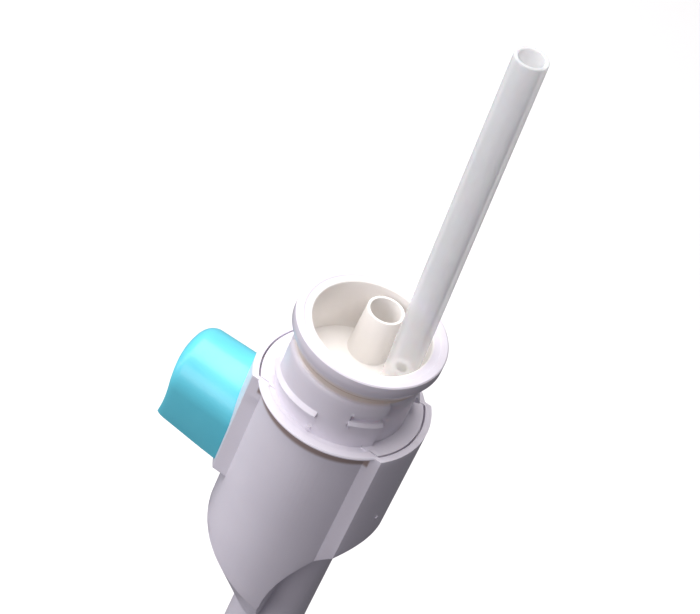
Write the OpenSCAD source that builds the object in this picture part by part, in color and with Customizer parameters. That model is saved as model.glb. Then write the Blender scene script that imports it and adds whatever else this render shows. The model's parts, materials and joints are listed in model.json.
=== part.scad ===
// Hand-pumped oral irrigator with its water tank taken off: a handle with a trigger pump, a tank neck, a
// suction tube that dips into the tank, and a turning jet nozzle.
// Frame: +Z runs up the handle towards the tank, the trigger faces -X, and z = 0 is the handle's end face.

/* [Tank neck] */
// Outer radius of the neck that the tank slides over
neck_r = 16.3; // [16.1:0.1:16.4]
// Outer radius of the rim above the neck
rim_r = 18.8; // [18.6:0.1:18.9]
// Height of the rim's top above the end face
rim_top = 22.6; // [22:0.1:23]
// Height of the rim
rim_h = 5.7; // [5.5:0.1:5.9]
// Radius of the recess inside the neck
recess_r = 14.8; // [14.7:0.1:14.9]
// Height of the recess floor above the end face
floor_z = 7; // [6.5:0.1:7.5]

/* [Suction tube] */
// Outer radius of the suction tube
tube_r = 4; // [3.8:0.1:4.1]
// Bore radius of the suction tube
tube_bore_r = 3; // [2.8:0.1:3.1]
// Length of the suction tube
tube_len = 103.5; // [60:0.5:140]
// Lean of the tube away from the handle's axis direction, in degrees
tube_lean = 2.6; // [0:0.1:3]

/* [Handle] */
// Radius of the round barrel
barrel_r = 19.4; // [19.2:0.1:19.6]
// Radius of the raised left and right sectors
sector_r = 22.5; // [22.3:0.1:22.8]
// Half the width of a raised sector
sector_w = 12.75; // [12.6:0.05:13]
// Wall thickness of the handle shells
wall = 1.6; // [1.4:0.1:1.8]
// Sideways place of the stem below the barrel
stem_x = 6.7; // [6.5:0.1:6.9]
// Outer radius of the stem
stem_r = 9.4; // [9.2:0.1:9.5]
// Height of the stem's lower end
stem_end = -112; // [-118:1:-110]

/* [Pump] */
// Height of the pump's axis
pump_z = -21.8; // [-22:0.1:-21.6]
// Bore radius of the pump
pump_bore_r = 5.8; // [5.6:0.1:5.8]
// Trigger travel
stroke = 9; // [6:0.5:9]
// Ball radius of the two check valves
ball_r = 2.2; // [2.1:0.05:2.3]

/* [Trigger] */
// Half the width of the trigger
trigger_w = 11.4; // [11.2:0.1:11.4]
// Place of the trigger's foremost point
trigger_x = -39.7; // [-41:0.1:-39]

/* [Nozzle] */
// Length of the nozzle's straight tube
nozzle_len = 48; // [30:1:60]
// Bend of the nozzle's tip, in degrees
tip_bend = 28; // [10:1:40]

/* [Hidden] */
$fn = 96;
gap = 0.3;                         // room between pieces that move past each other
fit = 0.05;                        // radial room of a running or push fit
side = 1.05;                       // wall of the trigger's frame
white = "#f2f0f4";
aqua = "#5fd3df";
clear = "#dfe6ea";
steel = "#c3c6cb";
rubber = "#b79d84";

// Handle outline
duct_floor = -34.6;                 // underside of the trigger's frame
duct_foot_r = 0.8;                 // rounding of the frame's outer foot
scoop_r = 35.5;                    // hollow that is cut in the side facing away from the trigger
scoop_x = 43.7;
scoop_z = -62;
flank_r = 21.05;                   // flatter flank under the trigger
flank_x = 2.15;
stem_top = -38;
shoulder_z = -43;                  // where the barrel starts to taper
shoulder_r = 23;                   // rounding of that shoulder
taper = 31.5;                      // slope of the taper from the axis
taper_top_r = 26.2;                // its radius about the stem's axis
lip_r = 21.1;                      // lip that stands round the open end between the sectors
lip_bore_r = 18.7;
disc_t = 3;                        // thickness of the collar's disc
disc_r = 20.4;
disc_w = 11.5;                     // half width of the disc's raised sectors
pocket = 0.3;                      // how far the disc is lower between the sectors
screw_places = [[16.5, -9], [16.5, -30.5], [-8, -41.5], [-3.5, -59]];
screw_head_r = 1.8;
screw_r = 0.8;
boss_r = 2.7;

// Pump
pump_r = 7.2;
pump_mouth = -10;
cap_t = 3;
piston_front = -4.5;
pump_end = piston_front + stroke + 8;
piston_len = 5;
rod_r = 2.6;
chimney_r = 4.1;
chimney_bore_r = 2.9;
inlet_at = [10.1, 2.5];
inlet_floor = -14.2;               // bottom of the inlet valve's chamber
inlet_top = -1.5;
inlet_seat = -5.5;                 // lower end of the spigot, where the inlet ball seats
seat_r = 1.5;
outlet_seat = -30;
outlet_end = -42;
valve_lift = 1;
wire_r = 0.18;
spring_r = 1.6;
function ball_drop(hole_r) = sqrt(ball_r * ball_r - hole_r * hole_r) + 0.02;
inlet_ball_z = inlet_seat - ball_drop(seat_r);
outlet_ball_z = outlet_seat - ball_drop(1.3);
fitting_top = -39;

// Trigger
trigger_low = -33.3;               // lower edge where it enters the handle
nose_r = 4;                        // rounding round its press face
draft = 0.3;                       // how much narrower it is behind that rounding
hollow_r = 32.8;                   // finger hollow in the press face
hollow_x = -70.2;
hollow_z = -25.5;
seat_x = -35.6;                    // seat of the return spring

// Bayonet pads on the neck
pad_r = 17.3;
pad_top = 14.3;
pad_from = -145.5;
pad_to = -34.5;
ridge_r = 18.2;
slot_from = -63;                   // where the catch slot and its ledge start
ledge_z = 8.2;
slot_h = 1.7;

// Vent stub inside the recess
stub_at = [-1, 9.4];
stub_r = 4.65;
stub_foot_r = 5.2;
stub_bore_r = 4;
stub_top = 20.8;

// Nozzle
socket_top = -98;
socket_bore_r = 4;
cone_top = stem_end - 7;
cone_len = 15;
jet_r = 2.3;
jet_bore_r = 0.9;
tip_len = 11;

module ring(z0, z1, r_out, r_in) {
    translate([0, 0, z0]) difference() {
        cylinder(h = z1 - z0, r = r_out);
        translate([0, 0, -1]) cylinder(h = z1 - z0 + 2, r = r_in);
    }
}

module rod_x(x0, x1, r) {
    translate([x0, 0, pump_z]) rotate([0, 90, 0]) cylinder(h = x1 - x0, r = r);
}

module slab_y(half_w, x0, x1, z0, z1) {
    translate([x0, -half_w, z0]) cube([x1 - x0, 2 * half_w, z1 - z0]);
}

// Side outline in X and Z, pushed through the handle along Y
module through_y(half_w) {
    rotate([90, 0, 0]) linear_extrude(2 * half_w, center = true) children();
}

// Torus about Z
module o_ring(z, r_mid, r_cord) {
    translate([0, 0, z]) rotate_extrude() translate([r_mid, 0]) circle(r_cord, $fn = 32);
}

// Wedge that keeps the stretch of a ring from angle a0 to a1, in degrees
module arc_part(a0, a1, r, z0, z1) {
    steps = 8;
    translate([0, 0, z0]) linear_extrude(z1 - z0)
        polygon(concat([[0, 0]], [for (i = [0 : steps]) let (a = a0 + (a1 - a0) * i / steps)
            [2 * r * cos(a), 2 * r * sin(a)]]));
}

module arc_rib(a0, a1, r_in, r_out, z0, z1) {
    intersection() {
        ring(z0, z1, r_out, r_in);
        arc_part(a0, a1, r_out, z0 - 1, z1 + 1);
    }
}

// Coil spring from z0 up to z1, closed at both ends, about Z
module coil(z0, z1, r_mid, r_wire, turns) {
    sides = 8;
    per_turn = 20;
    count = turns * per_turn;
    ease = function (t) let (e = 1 / turns) t < e ? t * 0.25 / e * e
        : t > 1 - e ? 1 - (1 - t) * 0.25 : 0.25 * e + (t - e) * (1 - 0.5 * e) / (1 - 2 * e);
    low = z0 + r_wire;
    span = z1 - z0 - 2 * r_wire;
    pts = [for (i = [0 : count], k = [0 : sides - 1])
        let (a = 360 * i / per_turn, b = 360 * k / sides, rr = r_mid + r_wire * cos(b))
        [rr * cos(a), rr * sin(a), low + span * ease(i / count) + r_wire * sin(b)]];
    walls = [for (i = [0 : count - 1], k = [0 : sides - 1]) let (n = (k + 1) % sides)
        [i * sides + k, i * sides + n, (i + 1) * sides + n, (i + 1) * sides + k]];
    ends = [[for (k = [sides - 1 : -1 : 0]) k], [for (k = [0 : sides - 1]) count * sides + k]];
    polyhedron(pts, concat(walls, ends), convexity = 10);
}

// Taper of the lower handle, turned about the stem's axis
module taper_body(inset) {
    run = (taper_top_r - shoulder_r * (1 - cos(taper)) - stem_r) / tan(taper);
    foot_z = shoulder_z - shoulder_r * sin(taper) - run;
    arc = [for (i = [0 : 6]) let (t = taper * i / 6)
        [taper_top_r - shoulder_r * (1 - cos(t)) - inset, shoulder_z - shoulder_r * sin(t)]];
    translate([stem_x, 0, 0]) rotate_extrude()
        polygon(concat([[0, 1], [taper_top_r - inset, 1]], arc, [[stem_r - inset, foot_z], [0, foot_z]]));
}

module scoop(inset) {
    translate([scoop_x, 0, scoop_z]) rotate([90, 0, 0])
        cylinder(h = 60, r = scoop_r + inset, center = true, $fn = 180);
    through_y(30) polygon([[scoop_x - scoop_r - inset, scoop_z], [60, scoop_z], [60, -130],
        [stem_x - inset, -130], [stem_x - inset, -82]]);
}

// The handle's solid outline, made smaller all round by inset, and by side_inset at the sectors' flat sides
module handle_form(inset, side_inset) {
    difference() {
        union() {
            intersection() {
                translate([0, 0, -100]) cylinder(h = 100 - disc_t, r = barrel_r - inset);
                translate([flank_x, 0, -100]) cylinder(h = 100, r = flank_r - inset);
                taper_body(inset);
            }
            intersection() {
                translate([0, 0, -60]) cylinder(h = 60, r = sector_r - inset);
                slab_y(sector_w - side_inset, 0, 30, -60, 1);
            }
        }
        scoop(inset);
    }
    intersection() {
        translate([0, 0, -60]) cylinder(h = 60, r = sector_r - inset);
        slab_y(sector_w - side_inset, -30, 0, duct_floor + side_inset, 1);
        through_y(20) duct_side();
    }
    translate([stem_x, 0, stem_end - inset]) cylinder(h = stem_top - stem_end, r = stem_r - inset);
}

// Side outline of the trigger's frame, with its rounded foot
module duct_side() {
    turn = [for (i = [0 : 4]) let (t = 90 * i / 4)
        [-sector_r + duct_foot_r * (1 - sin(t)), duct_floor + duct_foot_r * (1 - cos(t))]];
    polygon(concat([[0, duct_floor]], turn, [[-30, duct_floor + 6], [-30, 1], [0, 1]]));
}

// Outline of the collar's disc, which sits in the handle's open end
module disc_form(room, z0, z1) {
    translate([0, 0, z0]) cylinder(h = z1 - z0, r = lip_bore_r - 0.1 + room);
    intersection() {
        translate([0, 0, z0]) cylinder(h = z1 - z0, r = disc_r + room);
        slab_y(disc_w + room, -30, 30, z0, z1);
    }
}

// Arch in Y and Z, pushed along X: the window that the trigger comes through
module arch_x(x0, x1, room) {
    half = trigger_w + room;
    low = trigger_low - room;
    corner = 1.2;
    translate([x0, 0, 0]) rotate([90, 0, 90]) linear_extrude(x1 - x0)
        polygon(concat(
            [for (i = [0 : 24]) let (a = 180 * i / 24) [half * cos(a), pump_z + half * sin(a)]],
            [for (i = [0 : 4]) let (a = 180 + 90 * i / 4)
                [-half + corner + corner * cos(a), low + corner + corner * sin(a)]],
            [for (i = [0 : 4]) let (a = 270 + 90 * i / 4)
                [half - corner + corner * cos(a), low + corner + corner * sin(a)]]));
}

// Lip round the open end, between the sectors
module end_lip() {
    rotate_extrude() polygon([[barrel_r - wall, -6], [barrel_r, -6], [barrel_r, -1.6], [lip_r - 0.1, -0.75],
        [lip_r, -0.6], [lip_r, -0.3], [lip_r - 0.3, 0], [lip_bore_r + 0.2, 0], [lip_bore_r, -0.2],
        [lip_bore_r, -disc_t], [barrel_r - wall, -disc_t]]);
}

module pump_rib(x0, z0, z1) {
    difference() {
        intersection() {
            handle_form(wall, side);
            slab_y(30, x0, x0 + 1.4, z0, z1);
        }
        rod_x(x0 - 1, x0 + 3, pump_r + 0.1);
    }
}

module shell_body() {
    difference() {
        union() {
            difference() {
                union() {
                    handle_form(0, 0);
                    end_lip();
                }
                handle_form(wall, side);
                arch_x(-30, -15, gap);
            }
            difference() {
                intersection() {
                    handle_form(wall - 0.2, side - 0.2);
                    slab_y(30, -30, 30, -4.4, -disc_t);
                }
                translate([0, 0, -5]) cylinder(h = 3, r = 17.4);
            }
            rotate([0, 0, -12]) translate([sector_r - 0.5, 0, -24.5]) rotate([0, 90, 0]) cylinder(h = 0.8, r = 0.45);
            pump_rib(-4, -33, -11);
            pump_rib(11.4, -31, -16.5);
            for (p = screw_places) intersection() {
                handle_form(0.2, 0.2);
                translate([p[0], 0, p[1]]) rotate([90, 0, 0]) cylinder(h = 50, r = boss_r, center = true);
            }
        }
        disc_form(0.05, -disc_t, 1);
        for (p = screw_places) translate([p[0], -9, p[1]]) rotate([-90, 0, 0]) {
            cylinder(h = 18, r = screw_r);
            translate([0, 0, 9]) cylinder(h = 20, r = screw_r + 0.1);
            translate([0, 0, 18]) cylinder(h = 20, r = screw_head_r + 0.1);
        }
        rod_x(pump_mouth, pump_end + 2.2, pump_r + 0.1);
        translate([inlet_at[0], inlet_at[1], -20]) cylinder(h = 25, r = chimney_r + 0.1);
    }
}

// ---- fixed pieces of the handle ----

module front_shell() {
    color(white) intersection() {
        shell_body();
        translate([-60, -60, -150]) cube([120, 60, 160]);
    }
}

module rear_shell() {
    color(white) intersection() {
        shell_body();
        translate([-60, 0, -150]) cube([120, 60, 160]);
    }
}

// Section of the rim: a flat top with a faint step, an upright side, and a slope in towards the neck below it
module rim_section() {
    low = rim_top - rim_h;
    step_r = rim_r - 1.9;
    polygon([[recess_r, low], [rim_r - 1.2, low], [rim_r - 0.05, low + 2.4], [rim_r, low + 2.5],
        [rim_r, rim_top - 0.3], [rim_r - 0.3, rim_top], [step_r, rim_top], [step_r - 0.15, rim_top - 0.12],
        [recess_r + 0.2, rim_top - 0.12], [recess_r, rim_top - 0.3]]);
}

// Keeps the stretch from angle a0 to a1 of the ring that the section in its child turns into
module arc_turned(a0, a1) {
    intersection() {
        rotate_extrude() children();
        arc_part(a0, a1, rim_r, -10, rim_top);
    }
}

// Bayonet pad of one side, with its slot and ledge, and the slanted ridge that stands on it; the other side
// has the same ones, turned half round
module bayonet_pad() {
    root = neck_r - 0.3;
    difference() {
        arc_turned(pad_from, pad_to) polygon([[root, -pocket - 0.1], [pad_r, -pocket - 0.1],
            [pad_r, pad_top - 1.7], [pad_r - 0.1, pad_top - 1], [pad_r - 0.4, pad_top - 0.4],
            [neck_r, pad_top], [root, pad_top]]);
        arc_rib(slot_from, pad_to + 3, neck_r, pad_r + 1, ledge_z, ledge_z + slot_h);
    }
    arc_turned(slot_from, pad_to) polygon([[root, ledge_z - 1.2], [pad_r + 0.6, ledge_z - 1.2],
        [pad_r + 0.6, ledge_z - 0.8], [pad_r - 0.1, ledge_z], [root, ledge_z]]);
    intersection() {
        arc_part(-155, -88, ridge_r, 0, 10);
        translate([0, 0, 4.95]) rotate([0, 0, -31.6]) rotate([0, -5.5, 0]) rotate_extrude()
            polygon([[root, -0.85], [ridge_r, -0.85], [ridge_r, -0.35], [pad_r - 0.1, 0.85], [root, 0.85]]);
    }
    arc_rib(-91.5, -88, root, pad_r + 0.5, 0.4, 1.3);
}

module tank_collar() {
    color(white) difference() {
        union() {
            ring(-disc_t, rim_top - rim_h + 0.1, neck_r, recess_r);
            rotate_extrude() rim_section();
            translate([0, 0, floor_z - 1.5]) cylinder(h = 1.5, r = recess_r + 0.5);
            difference() {
                disc_form(0, -disc_t, 0);
                translate([0, 0, -5]) cylinder(h = 10, r = recess_r);
                for (s = [-1, 1]) translate([-30, s * 27.2 - 15, -pocket]) cube([60, 30, 10]);
            }
            for (a = [0, 180]) rotate([0, 0, a]) bayonet_pad();
            translate([stub_at[0], stub_at[1], floor_z - 0.5])
                cylinder(h = stub_top - floor_z + 0.5, r1 = stub_foot_r, r2 = stub_r);
        }
        translate([stub_at[0], stub_at[1], floor_z]) cylinder(h = 30, r = stub_bore_r);
        translate([stub_at[0], stub_at[1], 0]) cylinder(h = 10, r = 1.9);
        translate([inlet_at[0], inlet_at[1], 0]) cylinder(h = 10, r = 3.2);
    }
}

module neck_seal() {
    low = rim_top - rim_h - 0.85;
    color(rubber) ring(low, low + 0.8, neck_r + 0.6, neck_r + 0.03);
}

// Places its children at the foot of the suction tube, along the leaning tube
module at_tube() {
    translate([inlet_at[0], inlet_at[1], floor_z]) rotate([0, 0, 13.4]) rotate([0, -tube_lean, 0]) children();
}

module suction_tube() {
    color(clear, 0.7) at_tube() ring(0.3, tube_len, tube_r, tube_bore_r);
}

module inlet_spigot() {
    nipple = 8;
    color(white) difference() {
        union() {
            translate([inlet_at[0], inlet_at[1], inlet_seat]) cylinder(h = 10, r = chimney_bore_r - fit);
            translate([inlet_at[0], inlet_at[1], floor_z - 3]) cylinder(h = 1.48, r = 4.1);
            translate([inlet_at[0], inlet_at[1], floor_z - 1.6]) cylinder(h = 1.7, r = 3.1);
            at_tube() cylinder(h = nipple, r = tube_bore_r - fit);
        }
        translate([inlet_at[0], inlet_at[1], inlet_seat - 1]) cylinder(h = floor_z - inlet_seat + 1, r = seat_r);
        translate([inlet_at[0], inlet_at[1], floor_z]) sphere(seat_r + 0.15);
        at_tube() cylinder(h = nipple + 1, r = seat_r);
        translate([inlet_at[0], inlet_at[1], -3.2]) ring(-0.35, 0.35, 4, chimney_bore_r - 0.65);
    }
}

module spigot_seal() {
    color(rubber) translate([inlet_at[0], inlet_at[1], -3.2]) o_ring(0, chimney_bore_r - 0.34, 0.3);
}

module vent_valve() {
    color(rubber) translate([stub_at[0], stub_at[1], 0]) difference() {
        union() {
            translate([0, 0, floor_z]) cylinder(h = 0.9, r = stub_bore_r - 0.1);
            translate([0, 0, 2.6]) cylinder(h = 4.3, r1 = 0.9, r2 = 1.85);
        }
        translate([0, 0, 3.6]) cylinder(h = 5, r = 0.7);
    }
}

// ---- pump ----

module pump_cylinder() {
    color(white) difference() {
        union() {
            rod_x(pump_mouth, pump_end + 2, pump_r);
            translate([inlet_at[0], inlet_at[1], pump_z]) cylinder(h = inlet_top - pump_z, r = chimney_r);
            translate([stem_x, 0, outlet_end]) cylinder(h = pump_z - outlet_end, r = chimney_r);
        }
        rod_x(pump_mouth - 1, pump_end, pump_bore_r);
        translate([inlet_at[0], inlet_at[1], inlet_floor]) cylinder(h = 20, r = chimney_bore_r);
        translate([inlet_at[0], inlet_at[1], pump_z]) cylinder(h = 12, r = 1.4);
        translate([stem_x, 0, outlet_seat - 20]) cylinder(h = 20, r = chimney_bore_r);
        translate([stem_x, 0, outlet_seat - 1]) cylinder(h = 8, r = 1.3);
    }
}

module cylinder_cap() {
    color(white) difference() {
        union() {
            rod_x(pump_mouth - cap_t, pump_mouth, pump_r);
            rod_x(pump_mouth - 0.5, pump_mouth + 0.4, pump_bore_r - fit);
        }
        rod_x(pump_mouth - cap_t - 1, pump_mouth + 1, rod_r + 0.08);
    }
}

module piston() {
    back = piston_front - piston_len;
    color("#8d9096") difference() {
        rod_x(back, piston_front, pump_bore_r - 0.09);
        for (x = [back + 1.1, back + 3]) difference() {
            rod_x(x, x + 0.9, pump_bore_r + 1);
            rod_x(x - 1, x + 2, pump_bore_r - 0.85);
        }
        rod_x(back - 1, back + 3.5, 1.52);
    }
}

module piston_seals() {
    back = piston_front - piston_len;
    color("#3b3b40") for (x = [back + 1.55, back + 3.45])
        translate([x, 0, pump_z]) rotate([0, 90, 0]) o_ring(0, pump_bore_r - 0.46, 0.38);
}

module piston_rod() {
    back = piston_front - piston_len;
    color(steel) {
        rod_x(seat_x - 1, back, rod_r);
        rod_x(back - 0.1, back + 3.3, 1.5);
    }
}

// Half of the trigger's outline seen from above, from the press face round to its open back
function trigger_half(inset, back) = let (half = trigger_w - draft - nose_r, curve = nose_r - inset,
        mid = trigger_x + nose_r)
    concat([[trigger_x + inset, 0]],
        [for (i = [0 : 8]) let (a = 90 * i / 8) [mid - curve * cos(a), half + curve * sin(a)]],
        [[-24, trigger_w - inset], [back, trigger_w - inset], [back, 0]]);

// Solid outline of the trigger, made smaller all round by inset: a turned upper half on a straight lower half,
// with the finger hollow and the sloping underside cut off
module trigger_form(inset, back) {
    outline = trigger_half(inset, back);
    difference() {
        union() {
            translate([0, 0, pump_z]) rotate([0, 90, 0]) rotate([0, 0, 90]) rotate_extrude(angle = 180)
                polygon([for (p = outline) [p[1], p[0]]]);
            translate([0, 0, trigger_low - 1]) linear_extrude(pump_z - trigger_low + 1)
                polygon(concat(outline, [for (i = [len(outline) - 2 : -1 : 1]) [outline[i][0], -outline[i][1]]]));
        }
        translate([hollow_x, 0, hollow_z]) rotate([90, 0, 0])
            cylinder(h = 40, r = hollow_r + inset, center = true, $fn = 180);
        through_y(20) polygon([[-60, trigger_low - 5], [0, trigger_low - 5], [0, trigger_low + inset],
            [-17, trigger_low + inset], [-60, trigger_low + inset + 3.6]]);
    }
}

module trigger() {
    skin = 1.4;
    color(aqua) {
        difference() {
            union() {
                difference() {
                    trigger_form(0, -17);
                    trigger_form(skin, -16);
                }
                intersection() {
                    trigger_form(0.2, -17);
                    union() {
                        rod_x(trigger_x, seat_x + 3, 4);
                        rod_x(trigger_x, seat_x, 6.2);
                    }
                }
            }
            rod_x(seat_x - 1, seat_x + 8, rod_r + fit);
        }
        difference() {
            slab_y(5, -19.4, -17, -12, -7.6);
            arch_x(-25, -15, -skin);
        }
    }
}

module return_spring() {
    color(steel) translate([seat_x, 0, pump_z]) rotate([0, 90, 0])
        coil(0, pump_mouth - cap_t - seat_x, 5, 0.45, 9);
}

module inlet_ball() {
    color(steel) translate([inlet_at[0], inlet_at[1], inlet_ball_z]) sphere(ball_r);
}

module inlet_spring() {
    color(steel) translate([inlet_at[0], inlet_at[1], 0])
        coil(inlet_floor, inlet_ball_z - ball_drop(spring_r) - 0.05, spring_r, wire_r, 6);
}

module outlet_ball() {
    color(steel) translate([stem_x, 0, outlet_ball_z]) sphere(ball_r);
}

module outlet_spring() {
    color(steel) translate([stem_x, 0, 0])
        coil(fitting_top, outlet_ball_z - ball_drop(spring_r) - 0.05, spring_r, wire_r, 6);
}

module outlet_fitting() {
    color(white) translate([stem_x, 0, 0]) difference() {
        union() {
            translate([0, 0, -52]) cylinder(h = fitting_top + 52, r = 1.9 - fit);
            translate([0, 0, outlet_end]) cylinder(h = fitting_top - outlet_end, r = chimney_bore_r - fit);
            translate([0, 0, outlet_end - 1.5]) cylinder(h = 1.5, r = chimney_r);
        }
        translate([0, 0, -60]) cylinder(h = 30, r = 1);
    }
}

module delivery_tube() {
    color(clear, 0.7) translate([stem_x, 0, 0]) ring(socket_top + 0.1, outlet_end - 1.6, 2.9, 1.9);
}

module nozzle_socket() {
    color(white) translate([stem_x, 0, 0]) difference() {
        union() {
            translate([0, 0, stem_end + 0.4]) cylinder(h = socket_top - stem_end - 0.4, r = stem_r - wall - fit);
            translate([0, 0, socket_top]) cylinder(h = 8, r = 1.9 - fit);
        }
        translate([0, 0, stem_end - 1]) cylinder(h = 13, r = socket_bore_r);
        translate([0, 0, stem_end]) cylinder(h = 40, r = 1);
    }
}

// ---- turning nozzle ----

module nozzle_seal() {
    color("#3b3b40") translate([stem_x, 0, 0]) o_ring(stem_end + 8, socket_bore_r - 0.55, 0.5);
}

module nozzle_base() {
    foot_r = stem_r - 1.4;
    color(white) translate([stem_x, 0, 0]) difference() {
        union() {
            translate([0, 0, stem_end - 1]) cylinder(h = 11.6, r = socket_bore_r - fit);
            translate([0, 0, cone_top]) cylinder(h = stem_end - 0.4 - cone_top, r = foot_r);
            rotate_extrude() polygon([[0, cone_top], [foot_r, cone_top], [foot_r - 0.6, cone_top - 2.5],
                [foot_r - 2.2, cone_top - 6], [jet_r + 1.1, cone_top - 11], [jet_r + 0.8, cone_top - cone_len],
                [0, cone_top - cone_len]]);
        }
        translate([0, 0, stem_end + 8]) ring(-0.55, 0.55, 6, socket_bore_r - 1.06);
        translate([0, 0, cone_top - 6]) cylinder(h = 40, r = 1);
        translate([0, 0, cone_top - cone_len - 1]) cylinder(h = 11, r = jet_r + fit);
    }
}

module grip_ring() {
    ribs = 24;
    grip_r = stem_r + 0.3;
    color(aqua) translate([stem_x, 0, 0]) difference() {
        ring(cone_top + 0.2, stem_end - 0.6, grip_r, stem_r - 1.4 + fit);
        for (i = [0 : ribs - 1]) rotate([0, 0, 360 * i / ribs])
            translate([grip_r + 0.35, 0, cone_top - 1]) cylinder(h = 8, r = 0.7);
    }
}

// Straight tube, a bead where it bends towards the trigger's side, and a short tip
module jet_path(r) {
    translate([0, 0, -nozzle_len]) cylinder(h = nozzle_len, r = r);
    translate([0, 0, -nozzle_len]) sphere(r + 0.15);
    translate([0, 0, -nozzle_len]) rotate([0, tip_bend, 0]) translate([0, 0, -tip_len]) cylinder(h = tip_len, r = r);
}

module jet_tube() {
    color(white) translate([stem_x, 0, cone_top - cone_len + 9.9]) difference() {
        jet_path(jet_r);
        translate([0, 0, -nozzle_len]) cylinder(h = nozzle_len + 1, r = jet_bore_r);
        translate([0, 0, -nozzle_len]) sphere(jet_bore_r + 0.15);
        translate([0, 0, -nozzle_len]) rotate([0, tip_bend, 0]) translate([0, 0, -tip_len - 1])
            cylinder(h = tip_len + 1, r = jet_bore_r);
    }
}

module shell_screws() {
    color(steel) for (p = screw_places) translate([p[0], 0, p[1]]) rotate([-90, 0, 0]) {
        translate([0, 0, -7]) cylinder(h = 16.1, r = screw_r - 0.02);
        difference() {
            translate([0, 0, 9]) cylinder(h = 1.3, r = screw_head_r);
            for (a = [0, 90]) rotate([0, 0, a]) translate([-1, -0.25, 9.6]) cube([2, 0.5, 2]);
        }
    }
}

front_shell();
rear_shell();
tank_collar();
neck_seal();
suction_tube();
inlet_spigot();
spigot_seal();
vent_valve();
pump_cylinder();
cylinder_cap();
piston();
piston_seals();
piston_rod();
trigger();
return_spring();
inlet_ball();
inlet_spring();
outlet_ball();
outlet_spring();
outlet_fitting();
delivery_tube();
nozzle_socket();
nozzle_seal();
nozzle_base();
grip_ring();
jet_tube();
shell_screws();
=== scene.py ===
# %% [markdown]
# # The handle of a hand-pumped oral irrigator
# The handle is white moulded plastic in two half shells, with an aqua push trigger on its left side. Its water
# tank is off, so the neck, the recess in it, the vent stub and the translucent suction tube are seen. The packed
# CAD model gives every place and size in metres. This script only makes the looks, so it loads that model first
# and notes its box, which the finished looks may not outgrow.

# %% Load the frame
import json
import math

import bmesh
import bpy
from mathutils import Matrix, Vector

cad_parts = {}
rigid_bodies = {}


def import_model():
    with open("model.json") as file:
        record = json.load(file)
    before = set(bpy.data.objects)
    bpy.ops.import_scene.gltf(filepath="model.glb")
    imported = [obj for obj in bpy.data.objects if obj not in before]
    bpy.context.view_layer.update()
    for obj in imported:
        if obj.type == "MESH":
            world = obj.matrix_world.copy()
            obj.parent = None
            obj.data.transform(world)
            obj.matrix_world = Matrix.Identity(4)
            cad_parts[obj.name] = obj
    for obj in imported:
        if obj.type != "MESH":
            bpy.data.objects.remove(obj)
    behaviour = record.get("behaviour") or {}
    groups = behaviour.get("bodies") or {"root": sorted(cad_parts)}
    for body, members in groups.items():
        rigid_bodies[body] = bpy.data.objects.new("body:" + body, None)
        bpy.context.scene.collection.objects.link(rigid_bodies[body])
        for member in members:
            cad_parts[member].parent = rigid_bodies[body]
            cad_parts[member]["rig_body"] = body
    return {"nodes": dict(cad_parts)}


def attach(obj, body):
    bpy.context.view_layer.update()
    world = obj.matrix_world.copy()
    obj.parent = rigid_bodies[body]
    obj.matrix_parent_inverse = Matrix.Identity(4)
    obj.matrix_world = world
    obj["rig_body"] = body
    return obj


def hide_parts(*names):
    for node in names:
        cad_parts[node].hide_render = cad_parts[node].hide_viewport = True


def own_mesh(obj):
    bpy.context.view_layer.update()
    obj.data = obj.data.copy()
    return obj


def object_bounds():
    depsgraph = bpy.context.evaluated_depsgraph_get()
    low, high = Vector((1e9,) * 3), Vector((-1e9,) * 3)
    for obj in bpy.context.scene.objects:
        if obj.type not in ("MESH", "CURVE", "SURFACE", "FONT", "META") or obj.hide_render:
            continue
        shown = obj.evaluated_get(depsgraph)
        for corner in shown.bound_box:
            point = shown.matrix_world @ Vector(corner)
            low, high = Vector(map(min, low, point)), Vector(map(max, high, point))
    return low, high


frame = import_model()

cad_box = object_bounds()
nodes = frame["nodes"]
MM = 0.001
print("CAD box", [[round(v, 4) for v in corner] for corner in cad_box])

# %% [markdown]
# ## Camera, light and floor
# The camera comes first, so that every later look is judged from the right place. It looks down on the open neck
# from the front, a little from the right, and it is rolled, so that the handle leans across the picture. Three
# directions describe it: back towards the camera, level to the right, and up at a right angle to both. The roll
# turns the last two. A long lens gives the weak perspective of a product picture.

# %% Camera
AZIMUTH, ELEVATION, ROLL = map(math.radians, (13.4, 42.0, 24.9))
DISTANCE = 0.576
LENS_MM, SENSOR_MM = 127.2, 36.0
NECK_TOP = Vector((0, 0, 0.022))
SIDE_SHIFT, RISE_SHIFT = -0.0069, 0.0025


def unit_vectors(azimuth, elevation):
    """Towards the camera, level right and upright, for a camera that isn't rolled."""
    back = Vector((math.sin(azimuth) * math.cos(elevation), -math.cos(azimuth) * math.cos(elevation),
                   math.sin(elevation)))
    right = Vector((math.cos(azimuth), math.sin(azimuth), 0))
    return back, right, back.cross(right)


back, right, upright = unit_vectors(AZIMUTH, ELEVATION)
image_right = right * math.cos(ROLL) + upright * math.sin(ROLL)
image_up = upright * math.cos(ROLL) - right * math.sin(ROLL)
camera_data = bpy.data.cameras.new("camera")
camera_data.lens, camera_data.sensor_width = LENS_MM, SENSOR_MM
camera_data.clip_start, camera_data.clip_end = 0.01, 20
camera = bpy.data.objects.new("camera", camera_data)
turn = Matrix((image_right, image_up, back)).transposed().to_4x4()
place = NECK_TOP + back * DISTANCE + right * SIDE_SHIFT + upright * RISE_SHIFT
camera.matrix_world = Matrix.Translation(place) @ turn
bpy.context.scene.collection.objects.link(camera)
bpy.context.scene.camera = camera
print("camera at", [round(v, 4) for v in place])

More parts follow.
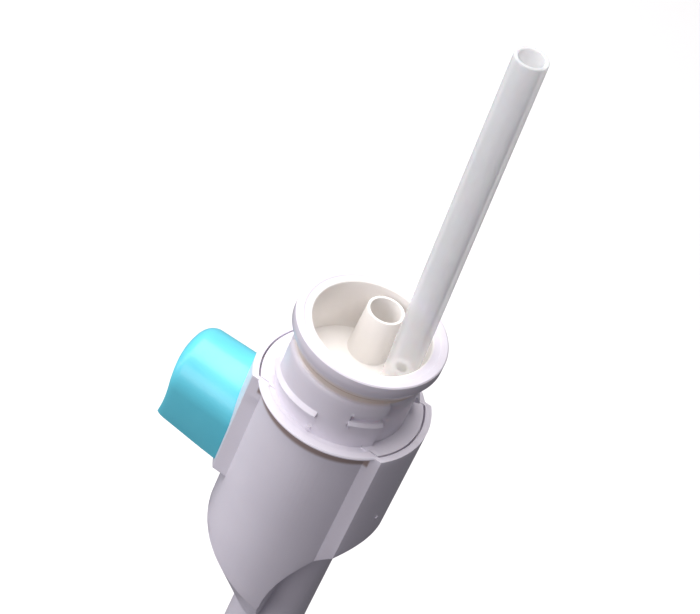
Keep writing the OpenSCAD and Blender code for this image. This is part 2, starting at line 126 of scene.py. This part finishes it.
# %% [markdown]
# The light is a wide soft box overhead and to the left, so upward faces are almost white and the faces towards
# the camera fall to a quiet lavender grey. A narrow strip on the left draws the long highlight down the barrel, a
# weaker box fills the front, and the world gives a faint cool light all round. The right side gets nothing of its
# own and stays dark. The floor is pale and takes shadows, but throws no light back, because its bounce would fill
# that dark side.

# %% Light and floor
FLOOR_REACH = 3.0


def soft_box(name, place, target, width, height, power, colour):
    """A rectangular area light that faces target."""
    data = bpy.data.lights.new(name, "AREA")
    data.shape, data.size, data.size_y = "RECTANGLE", width, height
    data.energy, data.color = power, colour
    light = bpy.data.objects.new(name, data)
    light.location = place
    light.rotation_mode = "QUATERNION"
    light.rotation_quaternion = (Vector(target) - Vector(place)).to_track_quat("-Z", "Y")
    bpy.context.scene.collection.objects.link(light)


soft_box("overhead_box", (-0.38, 0.08, 1.15), (0, 0, 0), 1.3, 1.3, 24, (1.0, 0.985, 0.97))
soft_box("left_strip", (-0.75, -0.30, 0.25), (0, 0, -0.02), 0.25, 0.8, 1.8, (0.95, 0.97, 1.0))
soft_box("front_fill", (-0.40, -1.05, 0.40), (0, 0, -0.02), 0.8, 0.6, 4.6, (0.99, 0.96, 1.0))
world = bpy.data.worlds.new("studio")
world.use_nodes = True
world.node_tree.nodes["Background"].inputs["Color"].default_value = (0.90, 0.87, 0.96, 1)
world.node_tree.nodes["Background"].inputs["Strength"].default_value = 0.16
bpy.context.scene.world = world
bpy.context.scene.view_settings.view_transform = "Standard"

floor_mesh = bpy.data.meshes.new("floor")
floor_z = cad_box[0].z - 0.0005
corners = [(-1, -1), (1, -1), (1, 1), (-1, 1)]
floor_mesh.from_pydata([(x * FLOOR_REACH, y * FLOOR_REACH, floor_z) for x, y in corners], [], [(0, 1, 2, 3)])
floor = bpy.data.objects.new("floor", floor_mesh)
floor.visible_diffuse = False
floor.visible_glossy = False
bpy.context.scene.collection.objects.link(floor)
print("floor at", round(floor_z, 4))

# %% [markdown]
# ## Writing node trees as sums
# A material is a net of nodes, and drawing it in calls is hard to read. A small class wraps one output socket and
# overloads the operators, so that `0.3 + noise * 0.1` adds the two Math nodes itself. Every other node comes from
# one method, which takes the node's type, its settings and the values or links of its inputs. Trees of geometry
# nodes use the same two classes, because they have the same Math node.

# %% The node kit


class Wire:
    """One output socket of a node tree, with arithmetic."""

    def __init__(self, net, socket):
        self.net, self.socket = net, socket

    def _math(self, operation, first, second=0.0):
        return self.net.add("ShaderNodeMath", {"operation": operation}, {0: first, 1: second})

    def __add__(self, other):
        return self._math("ADD", self, other)

    def __sub__(self, other):
        return self._math("SUBTRACT", self, other)

    def __rsub__(self, other):
        return self._math("SUBTRACT", other, self)

    def __mul__(self, other):
        return self._math("MULTIPLY", self, other)

    def root(self):
        return self._math("SQRT", self)

    def sine(self):
        return self._math("SINE", self)

    def rise(self, low, high):
        """0 below low, 1 above high, and a smooth step between them."""
        return self.net.add("ShaderNodeMapRange", {"interpolation_type": "SMOOTHSTEP"},
                            {"Value": self, "From Min": low, "From Max": high})

    __radd__, __rmul__ = __add__, __mul__


class Net:
    """A node tree and the call that adds a node to it."""

    def __init__(self, tree):
        self.tree = tree
        tree.nodes.clear()

    def add(self, kind, settings=None, inputs=None, output=0):
        node = self.tree.nodes.new(kind)
        for key, value in (settings or {}).items():
            if key == "stops":
                ramp = node.color_ramp.elements
                while len(ramp) < len(value):
                    ramp.new(1.0)
                for stop, (spot, colour) in zip(ramp, value):
                    stop.position, stop.color = spot, colour
            else:
                setattr(node, key, value)
        for key, value in (inputs or {}).items():
            if isinstance(value, Wire):
                self.tree.links.new(value.socket, node.inputs[key])
            else:
                node.inputs[key].default_value = value
        return Wire(self, node.outputs[output])


class Paint(Net):
    """A material."""

    def __init__(self, name):
        self.material = bpy.data.materials.new(name)
        self.material.use_nodes = True
        super().__init__(self.material.node_tree)

    def place(self):
        """The point on the piece, in metres, in the piece's own frame."""
        return self.add("ShaderNodeTexCoord", output="Object")

    def along(self, axis):
        """One coordinate of that point."""
        return self.add("ShaderNodeSeparateXYZ", None, {"Vector": self.place()}, axis)

    def radius(self):
        """The distance from the Z axis, in metres."""
        x, y = self.along("X"), self.along("Y")
        return (x * x + y * y).root()

    def blend(self, amount, first, second):
        """Colour that goes from first to second as amount goes from 0 to 1."""
        return self.add("ShaderNodeMix", {"data_type": "RGBA"}, {0: amount, 6: first, 7: second}, 2)

    def noise(self, scale, detail=2.0):
        """Smooth noise from 0 to 1 with this many lumps a metre."""
        return self.add("ShaderNodeTexNoise", None, {"Vector": self.place(), "Scale": scale, "Detail": detail})

    def ramp(self, value, stops):
        return self.add("ShaderNodeValToRGB", {"stops": stops}, {"Fac": value})

    def bump(self, height, distance):
        return self.add("ShaderNodeBump", None, {"Height": height, "Distance": distance})

    def finish(self, **inputs):
        """Ends the tree in one Principled shader; input names are written with _ for a space."""
        named = {key.replace("_", " "): value for key, value in inputs.items()}
        shader = self.add("ShaderNodeBsdfPrincipled", None, named)
        surface = self.tree.nodes.new("ShaderNodeOutputMaterial").inputs["Surface"]
        self.tree.links.new(shader.socket, surface)
        return self.material


def paint_all(piece, material):
    """Gives every face of a piece one material."""
    piece.data.materials.clear()
    piece.data.materials.append(material)


print("shader kit ready")

# %% [markdown]
# ## The finishes
# Injection-moulded plastic is never one flat colour. It has slow, faint clouds in its tint, a skin like very fine
# orange peel, and a gloss that changes a little from place to place. The white plastic gets all three, from noise
# at three scales. The collar is the same plastic. Over the clouds go painted light and shade: painted warm shade
# in the crevice below the lip and in the groove under the rim, and painted warm light in the recess. The clouds
# feed
# Base Color, the gloss feeds Roughness and the peel goes through a Bump node into Normal.

# %% Moulded plastics


def moulded(name, light, dark, rough, peel=0.00001, coat=0.15, glow=0.0, light_and_shade_zones=()):
    """A moulded plastic that wanders between two colours, with a roughness and a fine skin.

    Each zone is a pair of a mask and a tint: the mask takes the paint, and where it gives 1 the colour is the
    tint, which paints light or shade there.
    """
    p = Paint(name)
    clouds = p.noise(38, 3)
    colour = p.ramp(clouds, [(0.36, (*dark, 1)), (0.62, (*light, 1))])
    for mask, tint in light_and_shade_zones:
        colour = p.blend(mask(p), colour, (*tint, 1))
    gloss = rough + (p.noise(240, 4) - 0.5) * 0.10
    skin = p.bump(p.noise(2600, 2) + p.noise(700, 1) * 0.6, peel)
    return p.finish(Base_Color=colour, Roughness=gloss, Normal=skin, IOR=1.49, Coat_Weight=coat,
                    Coat_Roughness=0.12, Subsurface_Weight=glow, Subsurface_Scale=0.002,
                    Subsurface_Radius=(1.0, 0.75, 0.6))


def painted_lip_shade(p):
    """Painted warm shade in the crevice below the lip, where the barrel turns into it."""
    z = p.along("Z")
    above, across = z.rise(-0.0012, -0.0006), p.radius()
    on_barrel = across.rise(0.0190, 0.0193) * (1 - across.rise(0.0202, 0.0206))
    return z.rise(-0.0046, -0.0034) * (1 - above) * on_barrel


def painted_recess_light(p):
    """Painted warm light over the recess and all that stands in it."""
    return (1 - p.radius().rise(0.0148, 0.0154)) * p.along("Z").rise(0.0055, 0.0068)


def painted_rim_shade(p):
    """Painted warm shade in the groove between the pads and the rim, and on the slope that leads in to it."""
    z = p.along("Z")
    return z.rise(0.0138, 0.0146) * (1 - z.rise(0.0170, 0.0196)) * p.radius().rise(0.0156, 0.0160)


LAVENDER, LAVENDER_DARK = (0.84, 0.80, 0.88), (0.80, 0.76, 0.84)
# The shell's zone is painted warm shade in the crevice below the lip.
shell_white = moulded("shell_white", LAVENDER, LAVENDER_DARK, 0.34, glow=0.05,
                      light_and_shade_zones=[(painted_lip_shade, (0.38, 0.29, 0.27))])
# The collar's zones are painted warm light in the recess and painted warm shade in the groove under the rim.
collar_white = moulded("collar_white", LAVENDER, LAVENDER_DARK, 0.32, glow=0.08,
                       light_and_shade_zones=[(painted_recess_light, (0.96, 0.925, 0.895)), (painted_rim_shade, (0.80, 0.70, 0.62))])
inner_white = moulded("inner_white", (0.74, 0.73, 0.75), (0.68, 0.67, 0.70), 0.45)
trigger_aqua = moulded("trigger_aqua", (0.155, 0.69, 0.84), (0.125, 0.63, 0.78), 0.33, coat=0.2, glow=0.08)
piston_grey = moulded("piston_grey", (0.34, 0.35, 0.37), (0.29, 0.30, 0.32), 0.42)
print("plastics:", shell_white.name, collar_white.name, trigger_aqua.name)

# %% [markdown]
# Silicone is milky: it lets light through and scatters it. Here a Principled surface carries the milky colour and
# the soft shine, and Alpha lets part of the background show. Alpha rises towards the rim of the tube, where the
# line of sight runs through more of the wall, which Layer Weight gives. It falls a little towards the foot. Rubber
# and steel are simpler. Stainless steel gets fine turning marks, made from noise that is stretched along one
# direction.

# %% Silicone, rubber and steel


def silicone(name, colour, clear, edge):
    """Milky silicone: clear is the opacity seen square on, edge is what is added at the rim."""
    p = Paint(name)
    rim = p.add("ShaderNodeLayerWeight", None, {"Blend": 0.35}, "Facing")
    mist = p.noise(90, 2)
    skin = p.bump(p.noise(900, 2), 0.000008)
    tint = p.ramp(mist, [(0.3, (*[c * 0.95 for c in colour], 1)), (0.7, (*colour, 1))])
    haze = p.along("Z").rise(0.010, 0.045) * 0.2 + 0.8
    return p.finish(Base_Color=tint, Roughness=0.28 + mist * 0.08, Normal=skin, IOR=1.41,
                    Alpha=(clear + rim * edge + (mist - 0.5) * 0.05) * haze, Subsurface_Weight=0.2,
                    Subsurface_Scale=0.002, Coat_Weight=0.1)


def rubber(name, colour, rough):
    p = Paint(name)
    dust = p.noise(420, 4)
    tint = p.ramp(dust, [(0.35, (*colour, 1)), (0.75, (*[c * 1.25 + 0.01 for c in colour], 1))])
    return p.finish(Base_Color=tint, Roughness=rough + dust * 0.12, Normal=p.bump(dust, 0.00001))


def stainless(name, stretch):
    """Steel with marks that run across the given scale of stretch along X, Y and Z."""
    p = Paint(name)
    spread = p.add("ShaderNodeMapping", None, {"Vector": p.place(), "Scale": stretch})
    marks = p.add("ShaderNodeTexNoise", None, {"Vector": spread, "Scale": 500.0, "Detail": 3.0})
    tint = p.ramp(marks, [(0.3, (0.52, 0.53, 0.55, 1)), (0.7, (0.66, 0.67, 0.69, 1))])
    return p.finish(Base_Color=tint, Metallic=1.0, Roughness=0.2 + marks * 0.18,
                    Normal=p.bump(marks, 0.000004))


tube_silicone = silicone("tube_silicone", (0.97, 0.98, 1.0), 0.27, 0.42)
valve_silicone = silicone("valve_silicone", (0.78, 0.76, 0.72), 0.85, 0.1)
# The neck seal's tan is partly its own rubber colour and partly painted warm shade, matched to the shaded groove
# under the rim where it sits.
seal_tan_shade = rubber("seal_tan_shade", (0.55, 0.42, 0.34), 0.45)
ring_black = rubber("ring_black", (0.02, 0.02, 0.022), 0.38)
steel = stainless("steel", (1.0, 8.0, 1.0))
p = Paint("floor_pale")
floor_tint = p.ramp(p.noise(1.5, 2), [(0.3, (0.93, 0.93, 0.935, 1)), (0.7, (0.95, 0.95, 0.95, 1))])
paint_all(floor, p.finish(Base_Color=floor_tint, Roughness=0.7 + p.noise(4) * 0.1))
print("materials made:", len(bpy.data.materials))

# %% [markdown]
# ## Soft edges on the machined shapes
# A CAD solid has edges of no width, and nothing catches the light there. A moulded piece has a small round on
# every edge, and that thin bright line is most of what tells the eye that it is plastic. So each seen solid is
# copied, its loose triangles are merged into a whole skin, flat neighbours are dissolved into one face, and a
# bevel rounds every edge that is sharper than a limit. Cuts across a long piece keep the shading of its ends from
# smearing along it. The copy then stands for the CAD node, which stays as it is.

# %% The edge softener
MERGE, TOUCH = 2e-6, 1e-7
FLAT, CREASE = math.radians(0.6), math.radians(32)
BEVEL_STEPS = 3


def linked(name, mesh):
    piece = bpy.data.objects.new(name, mesh)
    bpy.context.scene.collection.objects.link(piece)
    return piece


def cut_across(bm, point, direction):
    """Splits every face that the plane passes through, and removes nothing."""
    bmesh.ops.bisect_plane(bm, geom=bm.verts[:] + bm.edges[:] + bm.faces[:], dist=TOUCH,
                           plane_co=point, plane_no=direction)


def sliced(bm, axis, start, stop, step):
    """Cuts the mesh across at equal steps along one axis."""
    direction = Vector([1.0 if k == "XYZ".index(axis) else 0.0 for k in range(3)])
    for i in range(int((stop - start) / step) + 1):
        cut_across(bm, direction * (start + i * step), direction)


def stand_in(piece, node, material):
    """Lets a finished piece stand for a CAD node, and move with that node's body."""
    paint_all(piece, material)
    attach(piece, nodes[node]["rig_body"])
    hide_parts(node)


def softened(node, radius, material, sharp=28, slices=None):
    """Makes a bevelled copy of a CAD node stand for it. radius is in metres, sharp in degrees.

    slices, if given, holds an axis, a start, a stop and a step for the cuts across the piece.
    """
    mesh = nodes[node].data.copy()
    mesh.name = node + "_soft"
    bm = bmesh.new()
    bm.from_mesh(mesh)
    bmesh.ops.remove_doubles(bm, verts=bm.verts, dist=MERGE)
    bmesh.ops.dissolve_degenerate(bm, edges=bm.edges, dist=MERGE)
    bmesh.ops.dissolve_limit(bm, angle_limit=FLAT, verts=bm.verts, edges=bm.edges)
    limit = math.radians(sharp)
    edges = [e for e in bm.edges if len(e.link_faces) == 2 and e.calc_face_angle(0) > limit]
    bmesh.ops.bevel(bm, geom=edges, offset=radius, offset_type="OFFSET", segments=BEVEL_STEPS, profile=0.5,
                    affect="EDGES", clamp_overlap=True, miter_outer="ARC")
    if slices:
        sliced(bm, *slices)
    bmesh.ops.triangulate(bm, faces=[f for f in bm.faces if len(f.verts) > 4])
    for face in bm.faces:
        face.smooth = True
    bm.to_mesh(mesh)
    bm.free()
    mesh.set_sharp_from_angle(angle=CREASE)
    piece = linked(node + "_soft", mesh)
    stand_in(piece, node, material)
    print(piece.name, len(mesh.polygons), "faces,", len(edges), "edges rounded")


HANDLE_SLICES = ("Z", -0.110, -0.002, 0.004)
for shell in ("front_shell", "rear_shell"):
    softened(shell, 0.00025, shell_white, slices=HANDLE_SLICES)
softened("tank_collar", 0.00015, collar_white, slices=("Z", -0.001, 0.021, 0.002))
softened("trigger", 0.0009, trigger_aqua, slices=("X", -0.036, -0.018, 0.003))
softened("inlet_spigot", 0.00015, collar_white)
softened("nozzle_base", 0.0004, shell_white, sharp=12)
softened("grip_ring", 0.00018, trigger_aqua)
softened("jet_tube", 0.0002, shell_white, slices=("Z", -0.185, -0.136, 0.006))
softened("shell_screws", 0.00012, steel)

# %% [markdown]
# ## Pieces that follow a rule
# The suction tube is a ring: one tall thin rectangle with round corners, swept round a circle, then leaned over
# and set on its spigot. The return spring is a helix whose pitch is closer at both ends. Both rules are trees of
# geometry nodes with named inputs. Each tree is worked out once, and its plain mesh is kept in place of the CAD
# node.

# %% The tree's maker


class Shape(Net):
    """A tree of geometry nodes. inputs maps each name to its socket type and value."""

    def __init__(self, name, inputs):
        self.group = bpy.data.node_groups.new(name, "GeometryNodeTree")
        self.values = {}
        for key, (kind, value) in inputs.items():
            socket = self.group.interface.new_socket(key, in_out="INPUT", socket_type="NodeSocket" + kind)
            self.values[socket.identifier] = value
        self.group.interface.new_socket("Geometry", in_out="OUTPUT", socket_type="NodeSocketGeometry")
        super().__init__(self.group)
        source = self.tree.nodes.new("NodeGroupInput")
        self.inputs = {key: Wire(self, source.outputs[key]) for key in inputs}

    def grow(self, name, shape, material):
        """Ends the tree, works it out and gives the plain mesh object."""
        whole = self.add("GeometryNodeRealizeInstances", None, {0: shape})
        painted = self.add("GeometryNodeSetMaterial", None, {"Geometry": whole, "Material": material})
        self.tree.links.new(painted.socket, self.tree.nodes.new("NodeGroupOutput").inputs[0])
        piece = linked(name, bpy.data.meshes.new(name + "_seed"))
        modifier = piece.modifiers.new("rule", "NODES")
        modifier.node_group = self.group
        for identifier, value in self.values.items():
            modifier[identifier] = value
        view = bpy.context.evaluated_depsgraph_get()
        view.update()
        mesh = bpy.data.meshes.new_from_object(piece.evaluated_get(view))
        piece.modifiers.clear()
        piece.data = mesh
        return piece


def finish_skin(piece, cuts, angle):
    """Cuts the mesh at each (point, direction), points its faces outward and shades it smooth."""
    bm = bmesh.new()
    bm.from_mesh(piece.data)
    bmesh.ops.remove_doubles(bm, verts=bm.verts, dist=MERGE)
    for point, direction in cuts:
        cut_across(bm, point, direction)
    bmesh.ops.recalc_face_normals(bm, faces=bm.faces)
    for face in bm.faces:
        face.smooth = True
    bm.to_mesh(piece.data)
    open_edges = sum(not e.is_manifold for e in bm.edges)
    bm.free()
    piece.data.set_sharp_from_angle(angle=math.radians(angle))
    print(piece.name, len(piece.data.polygons), "faces,", open_edges, "open edges")


print("tree maker ready")

# %% [markdown]
# The tube's lean is 2.6 degrees, towards the left and a little to the front. Its mesh is cut across near both
# ends, so that the round lips there don't shade the long wall.

# %% Suction tube
TUBE_FOOT = Vector((0.0101, 0.0025, 0.0070))
TUBE_LEAN, TUBE_HEADING = math.radians(2.6), math.radians(13.4)
TUBE_LENGTH, TUBE_GAP = 0.1032, 0.0003

tube = Shape("tube_rule", {
    "Outer Radius": ("Float", 0.004), "Wall": ("Float", 0.001), "Length": ("Float", TUBE_LENGTH),
    "Lip": ("Float", 0.00035), "Gap": ("Float", TUBE_GAP), "Foot": ("Vector", TUBE_FOOT),
    "Turn": ("Vector", (0.0, -TUBE_LEAN, TUBE_HEADING)), "Sides": ("Int", 72)})
t = tube.inputs
path = tube.add("GeometryNodeCurvePrimitiveCircle", None,
                {"Resolution": t["Sides"], "Radius": t["Outer Radius"] - t["Wall"] * 0.5})
wall = tube.add("GeometryNodeCurvePrimitiveQuadrilateral", None, {"Width": t["Wall"], "Height": t["Length"]})
wall = tube.add("GeometryNodeFilletCurve", {"mode": "POLY"}, {"Curve": wall, "Radius": t["Lip"], "Count": 4})
ring = tube.add("GeometryNodeCurveToMesh", None, {"Curve": path, "Profile Curve": wall})
rise = tube.add("ShaderNodeCombineXYZ", None, {"Z": t["Length"] * 0.5 + t["Gap"]})
ring = tube.add("GeometryNodeTransform", None, {"Geometry": ring, "Translation": rise})
ring = tube.add("GeometryNodeTransform", None, {"Geometry": ring, "Translation": t["Foot"], "Rotation": t["Turn"]})
suction = tube.grow("suction_tube_sweep", ring, tube_silicone)
tube_way = Matrix.Rotation(TUBE_HEADING, 3, "Z") @ Matrix.Rotation(-TUBE_LEAN, 3, "Y") @ Vector((0, 0, 1))
finish_skin(suction, [(TUBE_FOOT + tube_way * d, tube_way) for d in (0.002, 0.05, TUBE_LENGTH - 0.0015)], 40)
stand_in(suction, "suction_tube", tube_silicone)

# %% [markdown]
# The helix is drawn round Z and then laid along X. Its height is taken again from the position along the wire,
# with a sine that draws the end coils together.

# %% Return spring
SPRING_SEAT, SPRING_CAP, PUMP_Z = -0.0356, -0.0130, -0.0218
spring_length = SPRING_CAP - SPRING_SEAT
spring = Shape("spring_rule", {
    "Coil Radius": ("Float", 0.005), "Wire": ("Float", 0.00045), "Length": ("Float", spring_length),
    "Turns": ("Float", 9.0), "End Closeness": ("Float", 0.55), "Seat": ("Vector", (SPRING_SEAT, 0, PUMP_Z)),
    "Turn": ("Vector", (0.0, math.pi / 2, 0.0))})
t = spring.inputs
coil = spring.add("GeometryNodeCurveSpiral", None, {
    "Resolution": 28, "Rotations": t["Turns"], "Start Radius": t["Coil Radius"], "End Radius": t["Coil Radius"],
    "Height": 0.0})
share = spring.add("GeometryNodeSplineParameter")
eased = share - (share * (2 * math.pi)).sine() * t["End Closeness"] * (0.5 / math.pi)
height = t["Wire"] + eased * (t["Length"] - t["Wire"] * 2)
lift = spring.add("ShaderNodeCombineXYZ", None, {"Z": height})
coil = spring.add("GeometryNodeSetPosition", None, {"Geometry": coil, "Offset": lift})
wire = spring.add("GeometryNodeCurvePrimitiveCircle", None, {"Resolution": 12, "Radius": t["Wire"]})
coil = spring.add("GeometryNodeCurveToMesh", None, {"Curve": coil, "Profile Curve": wire, "Fill Caps": True})
coil = spring.add("GeometryNodeTransform", None,
                  {"Geometry": coil, "Translation": t["Seat"], "Rotation": t["Turn"]})
helix = spring.grow("return_spring_helix", coil, steel)
finish_skin(helix, [], 60)
stand_in(helix, "return_spring", steel)
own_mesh(helix)

# %% [markdown]
# Each valve's ball presses a small spring as it leaves its seat. Here each spring is a steel copy of its CAD node,
# and its height is printed.

# %% Valve springs
VALVE_LIFT, SPRING_ROOM = 0.001, 0.00015
for node, joint, foot in (("inlet_spring", "inlet_valve_lift", -0.0142),
                          ("outlet_spring", "outlet_valve_lift", -0.0390)):
    piece = linked(node + "_live", nodes[node].data.copy())
    stand_in(piece, node, steel)
    height = max(vert.co.z for vert in piece.data.vertices) - foot
    (height - VALVE_LIFT - SPRING_ROOM) / height
    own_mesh(piece)
    print(piece.name, round(height / MM, 2), "mm high")

# %% [markdown]
# ## The pieces that keep their CAD shape
# The other pieces are inside the handle, or too plain to need a copy, so they only get their materials.

# %% Paint the rest
PAINTS = {
    "neck_seal": seal_tan_shade, "spigot_seal": ring_black, "vent_valve": valve_silicone, "pump_cylinder": inner_white,
    "cylinder_cap": inner_white, "piston": piston_grey, "piston_seals": ring_black, "piston_rod": steel,
    "inlet_ball": steel, "outlet_ball": steel, "outlet_fitting": inner_white, "delivery_tube": tube_silicone,
    "nozzle_socket": inner_white, "nozzle_seal": ring_black,
}
for name, material in PAINTS.items():
    paint_all(nodes[name], material)
print("painted", len(PAINTS), "CAD nodes")
